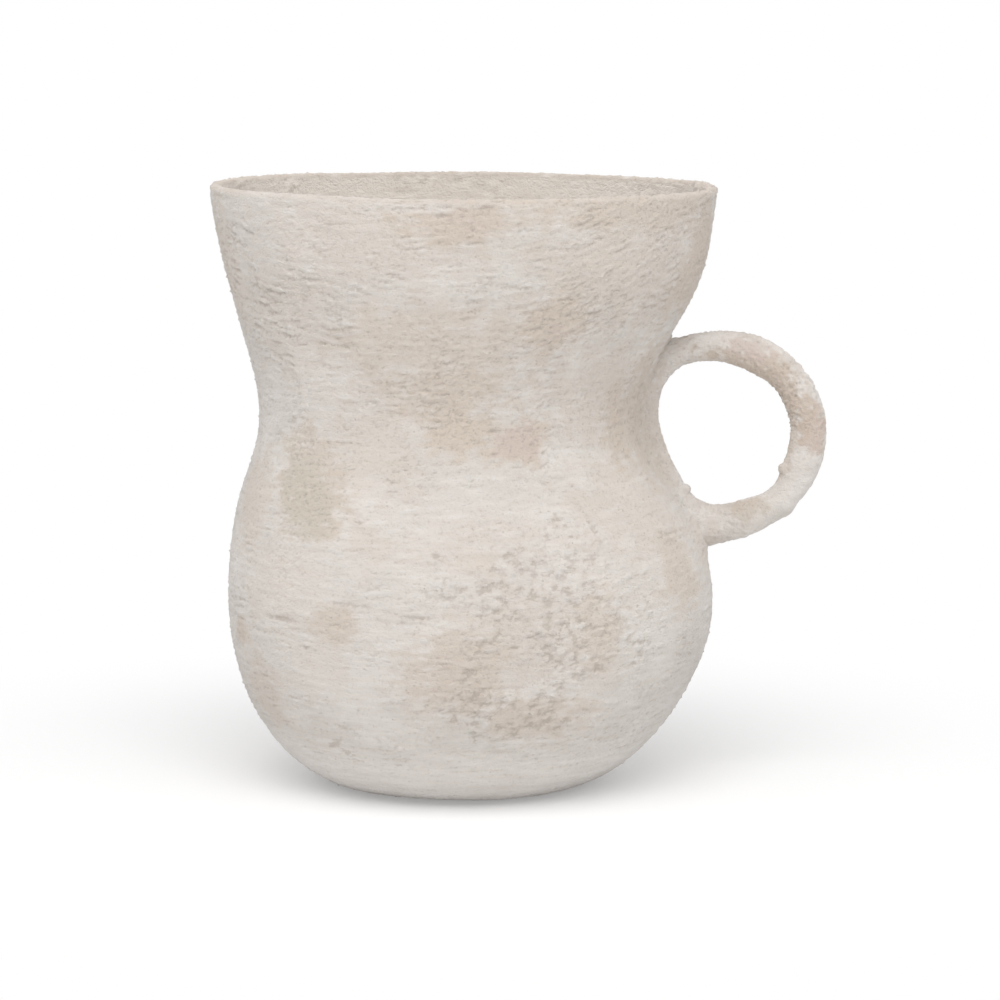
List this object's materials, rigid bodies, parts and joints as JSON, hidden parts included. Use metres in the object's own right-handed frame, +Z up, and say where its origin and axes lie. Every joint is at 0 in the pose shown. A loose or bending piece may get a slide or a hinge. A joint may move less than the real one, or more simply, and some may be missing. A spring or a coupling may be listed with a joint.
{
  "type": "one-handled pottery jug",
  "caption": "Wide-mouthed pottery jug with a deep belly, a drawn-in waist, a flared neck and a ring handle, under a rough brushed mineral coat.",
  "frame": {"origin": "centre of the flat foot, on the plane that the jug stands on", "axes": "+Z up, out of the mouth; +X towards the ring handle; +Y away from the viewer of the picture"},
  "size_m": [0.2445, 0.2008, 0.24],
  "materials": {
    "fired_clay": "unglazed buff earthenware, matt",
    "mineral_coat": "rough brushed off-white mineral coat with beige patches, matt",
    "coated_coil": "thin off-white coat worn to beige clay, matt",
    "corner_clay": "beige clay under a thin coat, matt"
  },
  "bodies": {
    "root": {"clay_body": "fired_clay", "rough_coat": "mineral_coat", "ring_handle": "coated_coil", "upper_clay_wad": "corner_clay", "lower_clay_wad": "corner_clay", "front_seam_clay": "corner_clay", "back_seam_clay": "corner_clay"}
  },
  "joints": []
}
